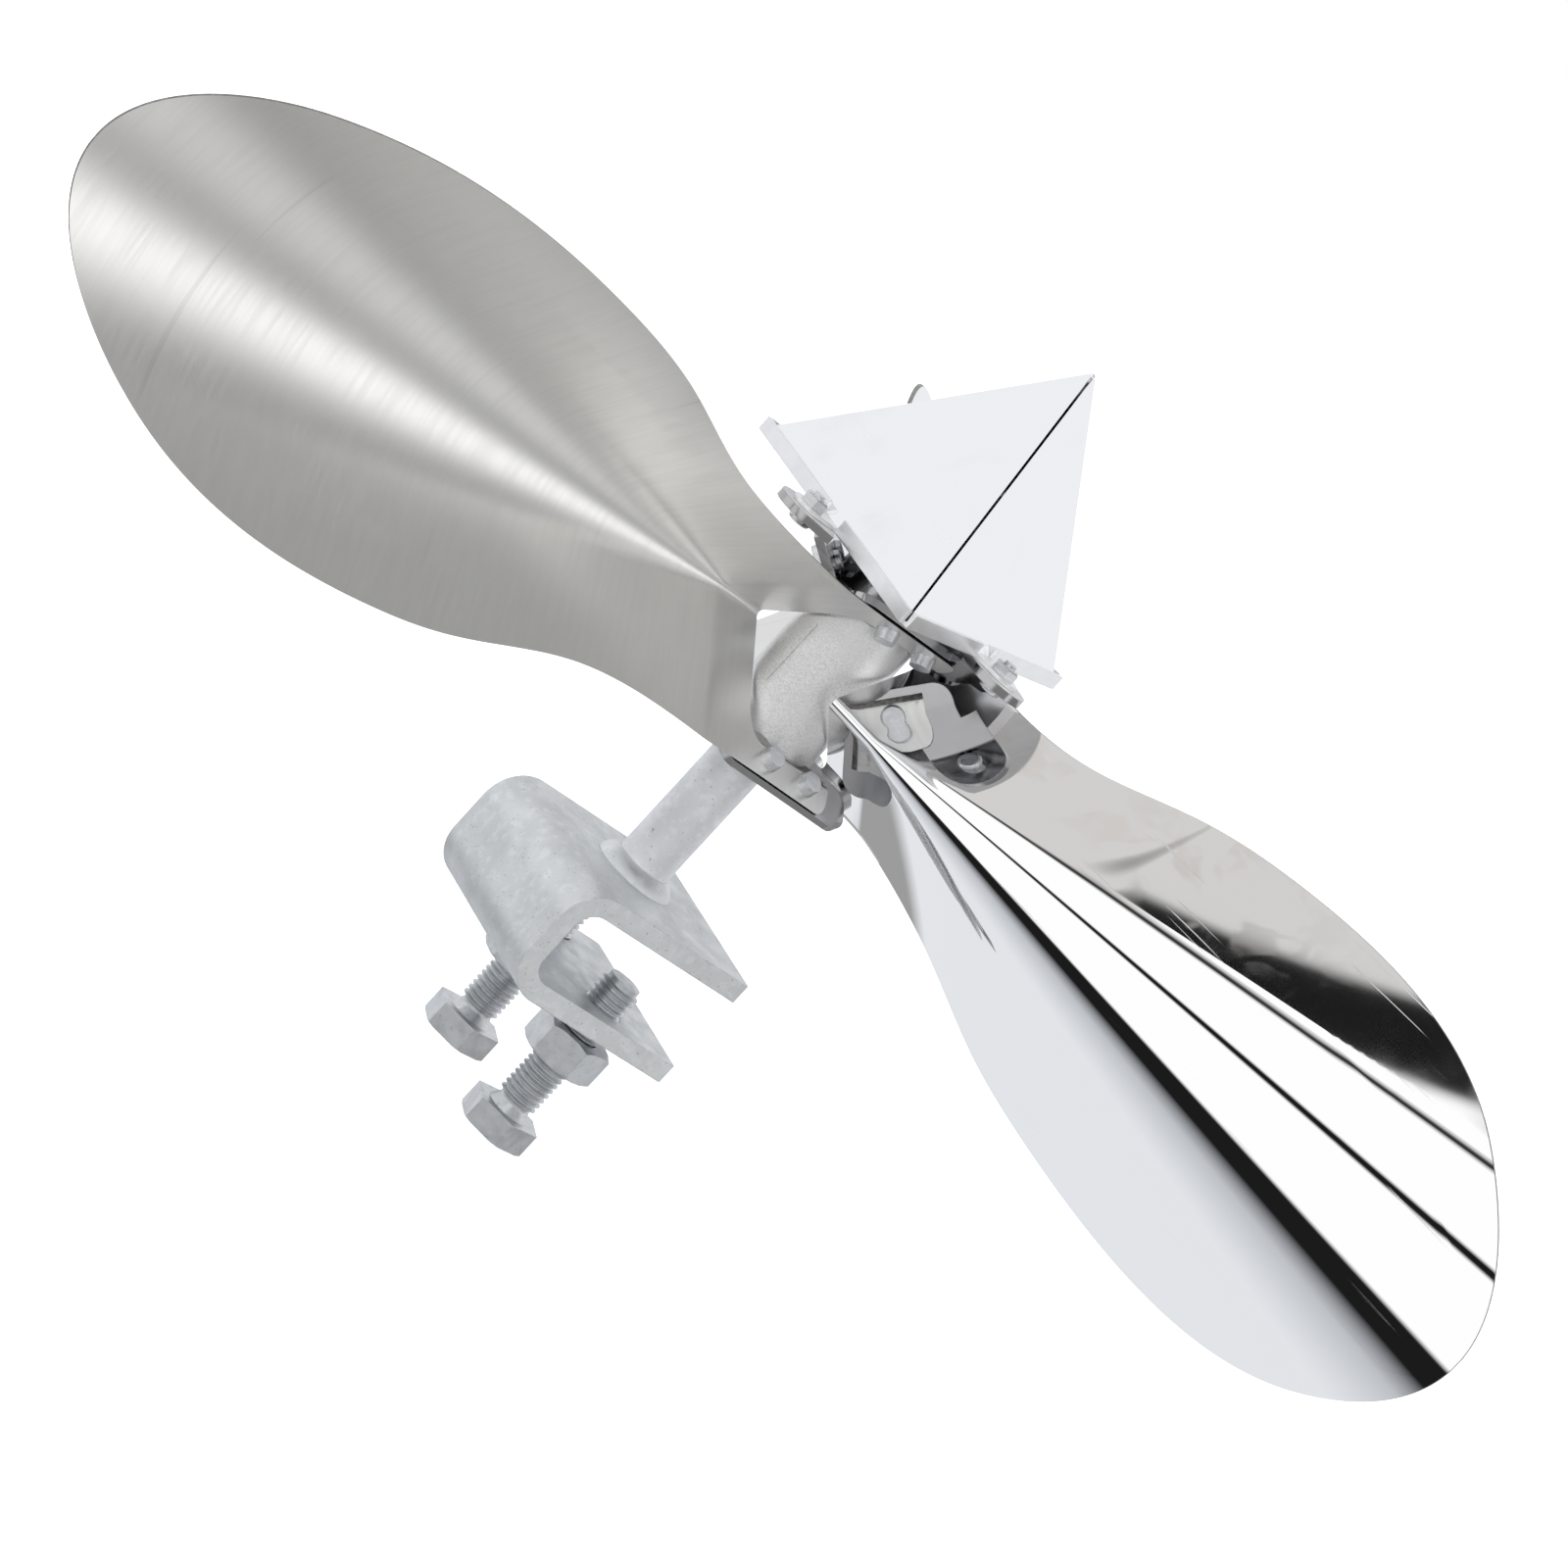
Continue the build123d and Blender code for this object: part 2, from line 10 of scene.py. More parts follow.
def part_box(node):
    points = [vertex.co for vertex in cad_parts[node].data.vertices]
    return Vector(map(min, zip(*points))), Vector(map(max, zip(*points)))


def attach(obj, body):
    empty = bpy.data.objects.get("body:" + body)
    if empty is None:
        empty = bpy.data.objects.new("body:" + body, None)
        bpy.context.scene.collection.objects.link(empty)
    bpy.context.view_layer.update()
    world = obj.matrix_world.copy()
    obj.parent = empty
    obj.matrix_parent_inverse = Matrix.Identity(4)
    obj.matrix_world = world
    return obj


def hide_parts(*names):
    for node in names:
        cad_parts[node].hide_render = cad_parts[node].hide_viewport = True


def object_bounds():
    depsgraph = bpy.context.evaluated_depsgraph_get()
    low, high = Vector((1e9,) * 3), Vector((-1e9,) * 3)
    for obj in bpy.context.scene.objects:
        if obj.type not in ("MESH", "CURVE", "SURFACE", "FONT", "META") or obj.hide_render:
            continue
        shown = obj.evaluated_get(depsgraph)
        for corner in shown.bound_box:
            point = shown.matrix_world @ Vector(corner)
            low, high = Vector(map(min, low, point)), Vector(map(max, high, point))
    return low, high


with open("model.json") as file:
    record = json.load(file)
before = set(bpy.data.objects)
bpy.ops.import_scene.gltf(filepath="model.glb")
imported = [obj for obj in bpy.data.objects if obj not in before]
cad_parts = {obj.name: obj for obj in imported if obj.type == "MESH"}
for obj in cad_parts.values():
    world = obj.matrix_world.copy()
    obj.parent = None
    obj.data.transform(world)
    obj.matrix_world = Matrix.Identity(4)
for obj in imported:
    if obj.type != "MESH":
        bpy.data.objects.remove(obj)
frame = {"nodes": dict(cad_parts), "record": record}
cad_low, cad_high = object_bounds()
MM = 0.001
UP = Vector((0, 0, 1))

# ======================= Camera =======================
hub_low, hub_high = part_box("hub_tube")
blade_level = (hub_low.z + hub_high.z) / 2
VIEW_AZIMUTH = -38.5  # direction of the picture's right-hand side before the roll
VIEW_ELEVATION = 10.61
VIEW_ROLL = 42.77
VIEW_DISTANCE = 1.400
LENS = 143.75
AIM_RIGHT = 0.01108
AIM_UP = -0.02433
SENSOR_WIDTH = 36
NEAREST_SEEN = 0.05
FURTHEST_SEEN = 50

right = Vector((cos(radians(VIEW_AZIMUTH)), sin(radians(VIEW_AZIMUTH)), 0))
away = Matrix.Rotation(radians(90), 3, "Z") @ right
forward = away * cos(radians(VIEW_ELEVATION)) - UP * sin(radians(VIEW_ELEVATION))
upright = right.cross(forward)
aim = right * AIM_RIGHT + Vector((0, 0, blade_level + AIM_UP))
rolled_up = upright * cos(radians(VIEW_ROLL)) - right * sin(radians(VIEW_ROLL))
rolled_right = forward.cross(rolled_up)

camera = bpy.data.objects.new("camera", bpy.data.cameras.new("camera"))
bpy.context.collection.objects.link(camera)
camera.matrix_world = Matrix.Translation(aim - forward * VIEW_DISTANCE) @ Matrix(
    (rolled_right, rolled_up, -forward)
).transposed().to_4x4()
camera.data.lens = LENS
camera.data.sensor_width = SENSOR_WIDTH
camera.data.clip_start = NEAREST_SEEN
camera.data.clip_end = FURTHEST_SEEN
bpy.context.scene.camera = camera


# ======================= Material tools =======================
NOISE_ROUGHNESS = 0.55


class Surface:
    """A principled material with short calls for the textures that are laid over it."""

    def __init__(self, name, color, metallic, roughness):
        self.material = bpy.data.materials.new(name)
        self.material.use_nodes = True
        self.nodes = self.material.node_tree.nodes
        self.links = self.material.node_tree.links
        self.shader = self.nodes["Principled BSDF"]
        self.shader.inputs["Metallic"].default_value = metallic
        self.shader.inputs["Roughness"].default_value = roughness
        self.shader.inputs["Base Color"].default_value = (*color, 1)
        self.color = (*color, 1)
        self.roughness = roughness
        self.coords = self.nodes.new("ShaderNodeTexCoord").outputs["Object"]
        self.color_out = None
        self.rough_out = None
        self.normal_out = None

    def use_uv(self):
        self.coords = self.nodes["Texture Coordinate"].outputs["UV"]

    def beyond(self, axis, low, high):
        """0 to 1 from low to high along one axis, held past both; low may be the larger."""
        split = self.nodes.new("ShaderNodeSeparateXYZ")
        self.links.new(self.coords, split.inputs[0])
        return self.band(split.outputs[axis], low, high)

    def stretch(self, scale, turn):
        """Coordinates scaled along each axis, after a turn about Z in degrees."""
        mapping = self.nodes.new("ShaderNodeMapping")
        mapping.inputs["Scale"].default_value = scale
        mapping.inputs["Rotation"].default_value = (0, 0, radians(turn))
        self.links.new(self.coords, mapping.inputs["Vector"])
        return mapping.outputs["Vector"]

    def noise(self, scale, detail, stretch=(1, 1, 1), turn=0.0, warp=0.0):
        node = self.nodes.new("ShaderNodeTexNoise")
        node.inputs["Scale"].default_value = scale
        node.inputs["Detail"].default_value = detail
        node.inputs["Roughness"].default_value = NOISE_ROUGHNESS
        node.inputs["Distortion"].default_value = warp
        self.links.new(self.stretch(stretch, turn), node.inputs["Vector"])
        return node.outputs["Fac"]

    def band(self, value, low, high):
        """0 to 1, smoothly, as value goes from low to high, held past both."""
        node = self.nodes.new("ShaderNodeMapRange")
        node.interpolation_type = "SMOOTHSTEP"
        node.inputs["From Min"].default_value = low
        node.inputs["From Max"].default_value = high
        self.links.new(value, node.inputs["Value"])
        return node.outputs["Result"]

    def times(self, first, second):
        node = self.nodes.new("ShaderNodeMath")
        node.operation = "MULTIPLY"
        for socket, value in zip(node.inputs, (first, second)):
            if isinstance(value, (int, float)):
                socket.default_value = value
            else:
                self.links.new(value, socket)
        return node.outputs[0]

    def tint(self, mask, color, strength):
        """Blends a colour over what is there, where the mask is high."""
        node = self.nodes.new("ShaderNodeMix")
        node.data_type = "RGBA"
        self.links.new(self.times(mask, strength), node.inputs[0])
        if self.color_out:
            self.links.new(self.color_out, node.inputs[6])
        else:
            node.inputs[6].default_value = self.color
        node.inputs[7].default_value = (*color, 1)
        self.color_out = node.outputs[2]
        self.links.new(self.color_out, self.shader.inputs["Base Color"])

    def roughen(self, mask, amount):
        """Adds amount to the roughness where the mask is high."""
        node = self.nodes.new("ShaderNodeMath")
        node.operation = "MULTIPLY_ADD"
        node.use_clamp = True
        self.links.new(mask, node.inputs[0])
        node.inputs[1].default_value = amount
        if self.rough_out:
            self.links.new(self.rough_out, node.inputs[2])
        else:
            node.inputs[2].default_value = self.roughness
        self.rough_out = node.outputs[0]
        self.links.new(self.rough_out, self.shader.inputs["Roughness"])

    def bump(self, height, depth, strength):
        """Raises the surface by depth metres where height is 1."""
        node = self.nodes.new("ShaderNodeBump")
        node.inputs["Distance"].default_value = depth
        node.inputs["Strength"].default_value = strength
        self.links.new(height, node.inputs["Height"])
        if self.normal_out:
            self.links.new(self.normal_out, node.inputs["Normal"])
        self.normal_out = node.outputs["Normal"]
        self.links.new(self.normal_out, self.shader.inputs["Normal"])

    def soften_edges(self, radius):
        """Rounds sharp edges in the shading."""
        node = self.nodes.new("ShaderNodeBevel")
        node.samples = 4
        node.inputs["Radius"].default_value = radius
        self.normal_out = node.outputs["Normal"]
        self.links.new(self.normal_out, self.shader.inputs["Normal"])


# ======================= Materials =======================
def galvanised(name, color, mottling, drips):
    """Hot-dip zinc: cloudy pale grey with fine grain, dull, with small dark pinholes."""
    s = Surface(name, color, 1.0, 0.46)
    s.soften_edges(0.5 * MM)
    s.tint(s.band(s.noise(90, 5), 0.35, 0.68), [c * 0.87 for c in color], mottling)
    s.tint(s.band(s.noise(420, 3), 0.50, 0.66), [min(c * 1.12, 1) for c in color], 0.5)
    s.tint(s.band(s.noise(1500, 2), 0.66, 0.74), (0.20, 0.20, 0.21), 0.55)
    s.roughen(s.band(s.noise(160, 4), 0.35, 0.65), 0.16)
    s.bump(s.noise(700, 3), 0.05 * MM, 0.5)
    s.bump(s.noise(110, 3), drips * MM, 0.6)
    return s.material


def plated(name, color, roughness):
    """Zinc-plated steel: satin, darker in random patches, slightly worn."""
    s = Surface(name, color, 1.0, roughness)
    s.soften_edges(0.25 * MM)
    s.tint(s.band(s.noise(260, 4), 0.40, 0.70), [c * 0.72 for c in color], 0.5)
    s.tint(s.band(s.noise(1300, 2), 0.60, 0.72), (0.26, 0.25, 0.24), 0.35)
    s.roughen(s.band(s.noise(500, 4), 0.35, 0.7), 0.14)
    s.bump(s.noise(1400, 2), 0.02 * MM, 0.4)
    return s.material


def blasted(name, color, roughness):
    """Bead-blasted stainless: an even, very fine sparkle."""
    s = Surface(name, color, 1.0, roughness)
    s.soften_edges(0.25 * MM)
    s.tint(s.band(s.noise(2600, 2), 0.42, 0.62), [c * 0.66 for c in color], 0.6)
    s.tint(s.band(s.noise(60, 3), 0.40, 0.70), [c * 0.88 for c in color], 0.7)
    s.roughen(s.band(s.noise(120, 3), 0.35, 0.65), 0.10)
    s.bump(s.noise(2400, 2), 0.03 * MM, 0.5)
    return s.material


def satin(name, color, roughness, grain=1.0):
    """Satin stainless sheet or fasteners with fine scratches."""
    s = Surface(name, color, 1.0, roughness)
    s.soften_edges(0.25 * MM)
    s.tint(s.band(s.noise(90, 4), 0.40, 0.70), [c * 0.82 for c in color], 0.6 * grain)
    s.roughen(s.band(s.noise(300, 4, stretch=(1, 1, 6)), 0.35, 0.70), 0.14 * grain)
    s.bump(s.noise(900, 3, stretch=(1, 1, 5)), 0.01 * MM, 0.5 * grain)
    return s.material


def sheet_mirror(name, color):
    """Mirror-polished stainless: faint waviness, hairline scratches, dried smears."""
    s = Surface(name, color, 1.0, 0.03)
    s.bump(s.noise(9, 2), 0.35 * MM, 0.35)
    scratch = s.band(s.noise(600, 3, stretch=(1, 0.02, 1), turn=31), 0.63, 0.70)
    s.roughen(scratch, 0.16)
    s.roughen(s.band(s.noise(25, 5), 0.55, 0.75), 0.05)
    s.tint(s.band(s.noise(30, 4), 0.55, 0.72), [c * 0.93 for c in color], 0.8)
    return s.material


def blade_mirror():
    """The polished back of a blade: long sheet waviness, hairlines and brownish finger marks."""
    color = (0.90, 0.90, 0.905)
    s = Surface("blade_mirror", color, 1.0, 0.015)
    s.use_uv()
    s.bump(s.noise(14, 2, stretch=(0.35, 1, 1)), 0.12 * MM, 0.25)
    hairline = s.band(s.noise(900, 2, stretch=(0.02, 1, 1), turn=4), 0.66, 0.72)
    s.roughen(hairline, 0.14)
    touched = s.times(s.beyond("Y", 0.018, 0.026), s.beyond("X", 0.150, 0.095))
    patch = s.band(s.noise(48, 2, warp=0.8), 0.47, 0.53)
    ridges = s.band(s.noise(95, 1, warp=1.5), 0.30, 0.65)
    marks = s.times(touched, s.times(patch, ridges))
    s.tint(marks, (0.82, 0.775, 0.73), 0.45)
    s.roughen(marks, 0.03)
    s.roughen(s.band(s.noise(20, 5), 0.50, 0.80), 0.03)
    return s.material


def blade_brushed():
    """The scoop's satin inside: fine brushing across it, faint long scratches, broad smears."""
    color = (0.84, 0.835, 0.82)
    s = Surface("blade_brushed", color, 1.0, 0.32)
    s.use_uv()
    brushing = s.band(s.noise(900, 3, stretch=(1, 0.05, 1)), 0.35, 0.70)
    s.tint(brushing, [c * 0.92 for c in color], 0.4)
    s.tint(s.band(s.noise(9, 4), 0.45, 0.75), (0.74, 0.725, 0.70), 0.35)
    long_scratch = s.band(s.noise(330, 2, stretch=(0.6, 0.02, 1), turn=14), 0.68, 0.72)
    s.tint(long_scratch, (0.58, 0.57, 0.55), 0.30)
    s.roughen(s.band(s.noise(900, 3, stretch=(1, 0.06, 1)), 0.35, 0.70), 0.06)
    s.bump(s.noise(1800, 2, stretch=(1, 0.05, 1)), 0.003 * MM, 0.5)
    s.shader.inputs["Anisotropic"].default_value = 0.25
    return s.material


def cut_edge():
    """The laser-cut edge of the sheet: darker and rough."""
    s = Surface("blade_edge", (0.22, 0.21, 0.20), 1.0, 0.45)
    s.tint(s.band(s.noise(900, 2), 0.45, 0.6), (0.40, 0.39, 0.38), 0.6)
    return s.material


def seal_rubber():
    s = Surface("seal_rubber_matt", (0.03, 0.03, 0.03), 0.0, 0.6)
    s.tint(s.band(s.noise(300, 3), 0.4, 0.7), (0.055, 0.053, 0.05), 0.8)
    s.bump(s.noise(900, 2), 0.02 * MM, 0.5)
    return s.material


looks = {
    "galvanised_steel": galvanised("galvanised_mottled", (0.80, 0.82, 0.835), 0.5, 0.14),
    "weld_steel": galvanised("weld_rippled", (0.80, 0.82, 0.835), 0.6, 0.60),
    "spindle_steel": galvanised("spindle_satin", (0.84, 0.85, 0.87), 0.5, 0.08),
    "zinc_plated_steel": plated("zinc_plated_satin", (0.66, 0.68, 0.70), 0.28),
    "bearing_steel": satin("bearing_polished", (0.75, 0.75, 0.77), 0.12),
    "cage_steel": satin("cage_satin", (0.60, 0.60, 0.62), 0.30),
    "spacer_aluminium": satin("spacer_turned", (0.78, 0.79, 0.80), 0.32),
    "seal_rubber": seal_rubber(),
    "hub_steel": blasted("hub_blasted", (0.92, 0.92, 0.925), 0.40),
    "petal_steel": satin("petal_satin", (0.46, 0.46, 0.465), 0.12, 0.3),
    "rivet_aluminium": satin("rivet_satin", (0.72, 0.73, 0.75), 0.26),
    "tray_steel": satin("tray_bright", (0.93, 0.93, 0.94), 0.30, 0.5),
    "mirror_steel": sheet_mirror("panel_mirror", (0.965, 0.97, 0.98)),
    "stainless_fastener": satin("fastener_satin", (0.70, 0.71, 0.73), 0.24),
}
node_slots = {part["node"]: part["material_slot"] for part in frame["record"]["subparts"]}
for node_name, node in frame["nodes"].items():
    if node_slots[node_name] in looks:
        for material_slot in node.material_slots:
            material_slot.material = looks[node_slots[node_name]]

# ======================= Blades =======================
# The blade's own numbers are those of part.py, in mm and degrees: its radius is counted from the
# hub's axis, and its depth from a plane through the axis.
SHEET = 0.8
BLADE_RADIUS = 217.8
NECK_END = -13.5
STRAIGHT_LENGTH = 20.0
CREASE_OFFSET = -13.9
CREASE_WIDENING = 0.32
CREASE_APEX_RADIUS = 22.75
CREASE_LEAST_RADIUS = 1.2
ROOT_FOLD = 58.0
OUTER_FOLD = 42.0
NECK_HALF_HEIGHT = 22.5
FIRST_AZIMUTH = 178.9
EDGE_POINTS = (
    (-9.5, 22.5), (12, 22.5), (35, 23.3), (60, 27.6), (85, 36.6), (112, 42.3), (150, 44.2),
    (195.9, 30.0), (BLADE_RADIUS, 0),
)
NOTCH_REACH = 13.4
NOTCH_CORNER_RADIUS = 5.0
TAB_INNER_HEIGHT = 18.1
NECK_CORNER_DROP = 3.9
FOLD_EASE_LENGTH = 70
KNEE_SHARE = 0.55  # the most of a section's length that the arc's columns are spread over

# How finely the mesh and the notch are drawn
ARC_COLUMNS = 12
WING_COLUMNS = 22
CURVE_SAMPLES = 1500
NECK_ROWS, NECK_ROW_STEP = 11, 0.35
INNER_ROWS, INNER_FROM, INNER_TO = 40, -9.2, 30
OUTER_ROWS, OUTER_FROM, TIP_FROM = 90, 31.5, 165
TIP_ROWS = 40
TIP_GAP = 0.05  # keeps the tip inside the CAD's box
SHARP_ANGLE = 35
NOTCH_OUTER_END = -30
NOTCH_CORNER_STEPS = 12
CUTTER_HALF_DEPTH = 60


def smooth_curve(points, first_tangent, last_tangent):
    """A cubic through the points, parametrised by the distance between them."""
    p = np.array(points, float)
    t = np.concatenate([[0], np.cumsum(np.hypot(*np.diff(p, axis=0).T))])
    h = np.diff(t)
    n = len(p)
    system, wanted = np.zeros((n, n)), np.zeros((n, 2))
    system[0, 0] = system[-1, -1] = 1
    wanted[0], wanted[-1] = first_tangent, last_tangent
    for i in range(1, n - 1):
        system[i, i - 1 : i + 2] = h[i], 2 * (h[i] + h[i - 1]), h[i - 1]
        slopes = (p[i] - p[i - 1]) / h[i - 1], (p[i + 1] - p[i]) / h[i]
        wanted[i] = 3 * (h[i] * slopes[0] + h[i - 1] * slopes[1])
    m = np.linalg.solve(system, wanted)
    s = np.linspace(0, t[-1], CURVE_SAMPLES)
    k = np.clip(np.searchsorted(t, s, side="right") - 1, 0, n - 2)
    u = ((s - t[k]) / h[k])[:, None]
    hk = h[k][:, None]
    return (
        (2 * u**3 - 3 * u**2 + 1) * p[k]
        + (u**3 - 2 * u**2 + u) * hk * m[k]
        + (3 * u**2 - 2 * u**3) * p[k + 1]
        + (u**3 - u**2) * hk * m[k + 1]
    )


edge_curve = smooth_curve(EDGE_POINTS, (1, 0), (0, -1))


def half_height(radius):
    """Half the blade's height at a radius, its corner at the neck's end included."""
    if radius < EDGE_POINTS[0][0]:
        share = (EDGE_POINTS[0][0] - radius) / (EDGE_POINTS[0][0] - NECK_END)
        return NECK_HALF_HEIGHT - NECK_CORNER_DROP * (1 - (1 - share**2) ** 0.5)
    return float(np.interp(radius, edge_curve[:, 0], edge_curve[:, 1]))


def fold_angle(radius):
    """How far each wing is folded, eased from the root's angle to the outer one."""
    share = min(max((radius - STRAIGHT_LENGTH) / FOLD_EASE_LENGTH, 0), 1)
    return radians(ROOT_FOLD + (OUTER_FOLD - ROOT_FOLD) * share * share * (3 - 2 * share))


def crease_radius(radius):
    return max(CREASE_WIDENING * (radius - CREASE_APEX_RADIUS), CREASE_LEAST_RADIUS)


def section_point(radius, share, layer):
    """A point of the sheet: share runs from -1 at the lower edge to 1 at the upper edge."""
    fold, bend = fold_angle(radius), crease_radius(radius)
    centre = CREASE_OFFSET + bend
    reach = bend + layer
    height = half_height(radius)
    arc = reach * fold
    if height <= reach * sin(fold):
        length = reach * asin(height / reach)
    else:
        length = arc + (height - reach * sin(fold)) / cos(fold)
    knee = min(arc, KNEE_SHARE * length)
    split = ARC_COLUMNS / (ARC_COLUMNS + WING_COLUMNS)
    side, share = (1 if share >= 0 else -1), abs(share)
    if share < split:
        along = knee * share / split
    else:
        along = knee + (length - knee) * (share - split) / (1 - split)
    turn = min(along / reach, fold)
    past = max(along - arc, 0)
    depth = centre - reach * cos(turn) + past * sin(fold)
    return radius, depth, side * (reach * sin(turn) + past * cos(fold)), side * along


def blade_stations():
    """The radii of the mesh's rows: close in the neck's corner, then even, closing at the tip."""
    tip_length = BLADE_RADIUS - TIP_GAP - TIP_FROM
    stations = [NECK_END + NECK_ROW_STEP * k for k in range(NECK_ROWS)]
    stations += list(np.linspace(INNER_FROM, INNER_TO, INNER_ROWS))
    stations += list(np.linspace(OUTER_FROM, TIP_FROM, OUTER_ROWS))
    stations += [TIP_FROM + tip_length * sin(pi / 2 * k / TIP_ROWS) for k in range(1, TIP_ROWS + 1)]
    return stations


def blade_mesh(materials):
    """The folded sheet as a closed mesh: hollow side, back, and the cut edge round it."""
    stations = blade_stations()
    half = ARC_COLUMNS + WING_COLUMNS
    columns = 2 * half + 1
    mesh = bmesh.new()
    uv = mesh.loops.layers.uv.new("sheet")
    layers = []
    for layer in (0, SHEET):
        rows = []
        for radius in stations:
            row = []
            for c in range(columns):
                x, y, z, along = section_point(radius, (c - half) / half, layer)
                row.append((mesh.verts.new((x * MM, y * MM, z * MM)), (x * MM, along * MM)))
            rows.append(row)
        layers.append(rows)

    def quad(corners, index):
        face = mesh.faces.new([v for v, _ in corners])
        face.material_index = index
        face.smooth = True
        for loop, (_, place) in zip(face.loops, corners):
            loop[uv].uv = place

    hollow, back = layers
    last = len(stations) - 1
    for i in range(last):
        for c in range(columns - 1):
            quad((hollow[i][c], hollow[i][c + 1], hollow[i + 1][c + 1], hollow[i + 1][c]), 0)
            quad((back[i][c], back[i + 1][c], back[i + 1][c + 1], back[i][c + 1]), 1)
        quad((hollow[i][0], hollow[i + 1][0], back[i + 1][0], back[i][0]), 2)
        quad((hollow[i][-1], back[i][-1], back[i + 1][-1], hollow[i + 1][-1]), 2)
    for c in range(columns - 1):
        quad((hollow[0][c], back[0][c], back[0][c + 1], hollow[0][c + 1]), 2)
        quad((hollow[last][c], hollow[last][c + 1], back[last][c + 1], back[last][c]), 2)
    bmesh.ops.recalc_face_normals(mesh, faces=mesh.faces)
    data = bpy.data.meshes.new("blade_sheet")
    mesh.to_mesh(data)
    mesh.free()
    for material in materials:
        data.materials.append(material)
    return data


def prism(name, outline, half_depth, material):
    """A closed prism along Y, as deep on both sides, from an outline in X and Z."""
    mesh = bmesh.new()
    ends = []
    for y in (-half_depth, half_depth):
        ends.append([mesh.verts.new((x * MM, y * MM, z * MM)) for x, z in outline])
    mesh.faces.new(ends[0])
    mesh.faces.new(ends[1])
    for i in range(len(outline)):
        k = (i + 1) % len(outline)
        mesh.faces.new((ends[0][i], ends[0][k], ends[1][k], ends[1][i]))
    bmesh.ops.recalc_face_normals(mesh, faces=mesh.faces)
    data = bpy.data.meshes.new(name)
    mesh.to_mesh(data)
    mesh.free()
    data.materials.append(material)
    piece = bpy.data.objects.new(name, data)
    bpy.context.collection.objects.link(piece)
    return piece


def baked(piece):
    """The piece's mesh with its modifiers applied."""
    graph = bpy.context.evaluated_depsgraph_get()
    return bpy.data.meshes.new_from_object(piece.evaluated_get(graph))


edge_material = cut_edge()
blank_mesh = blade_mesh([blade_brushed(), blade_mirror(), edge_material])
blank = bpy.data.objects.new("blade_blank", blank_mesh)
bpy.context.collection.objects.link(blank)
notch_outline = [(NOTCH_OUTER_END, TAB_INNER_HEIGHT), (NOTCH_OUTER_END, -TAB_INNER_HEIGHT)]
for side, first_turn in ((-1, -90), (1, 0)):
    for step in range(NOTCH_CORNER_STEPS + 1):
        turn = radians(first_turn + 90 / NOTCH_CORNER_STEPS * step)
        notch_outline.append((
            NOTCH_REACH + NOTCH_CORNER_RADIUS * (cos(turn) - 1),
            side * (TAB_INNER_HEIGHT - NOTCH_CORNER_RADIUS) + NOTCH_CORNER_RADIUS * sin(turn),
        ))
cutter = prism("notch_cutter", notch_outline, CUTTER_HALF_DEPTH, edge_material)
cut = blank.modifiers.new("notch_cutter", "BOOLEAN")
cut.operation = "DIFFERENCE"
cut.solver = "EXACT"
cut.material_mode = "TRANSFER"
cut.object = cutter
sheet_mesh = baked(blank)
for spare in (blank, cutter):
    bpy.data.objects.remove(spare)
sheet_mesh.set_sharp_from_angle(angle=radians(SHARP_ANGLE))

for number in (1, 2, 3):
    azimuth = radians(FIRST_AZIMUTH + 120 * (number - 1))
    data = sheet_mesh.copy()
    data.transform(Matrix.Translation((0, 0, blade_level)) @ Matrix.Rotation(azimuth, 4, "Z"))
    blade = bpy.data.objects.new(f"blade_{number}_sheet", data)
    bpy.context.collection.objects.link(blade)
    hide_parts(f"blade_{number}")
    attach(blade, "rotor")

# ======================= Floor, lights and surroundings =======================
FLOOR_REACH = 12.0
FLOOR_DROP = 0.013  # keeps the floor clear of the bolt heads when the bolts are run right out
level = cad_low.z - FLOOR_DROP
corners = [
    (-FLOOR_REACH, -FLOOR_REACH, level), (FLOOR_REACH, -FLOOR_REACH, level),
    (FLOOR_REACH, FLOOR_REACH, level), (-FLOOR_REACH, FLOOR_REACH, level),
]
floor_mesh = bpy.data.meshes.new("floor")
floor_mesh.from_pydata(corners, [], [(0, 1, 2, 3)])
floor = bpy.data.objects.new("floor", floor_mesh)
bpy.context.collection.objects.link(floor)
floor_material = bpy.data.materials.new("floor")
floor_material.use_nodes = True
nodes, links = floor_material.node_tree.nodes, floor_material.node_tree.links
plain = nodes["Principled BSDF"]
plain.inputs["Base Color"].default_value = (0.92, 0.92, 0.92, 1)
plain.inputs["Roughness"].default_value = 0.9
plain.inputs["Emission Color"].default_value = (1, 1, 1, 1)
plain.inputs["Emission Strength"].default_value = 0.5
mix = nodes.new("ShaderNodeMixShader")
path = nodes.new("ShaderNodeLightPath")
clear = nodes.new("ShaderNodeBsdfTransparent")
links.new(path.outputs["Is Glossy Ray"], mix.inputs[0])
links.new(plain.outputs[0], mix.inputs[1])
links.new(clear.outputs[0], mix.inputs[2])
links.new(mix.outputs[0], nodes["Material Output"].inputs["Surface"])
floor_mesh.materials.append(floor_material)

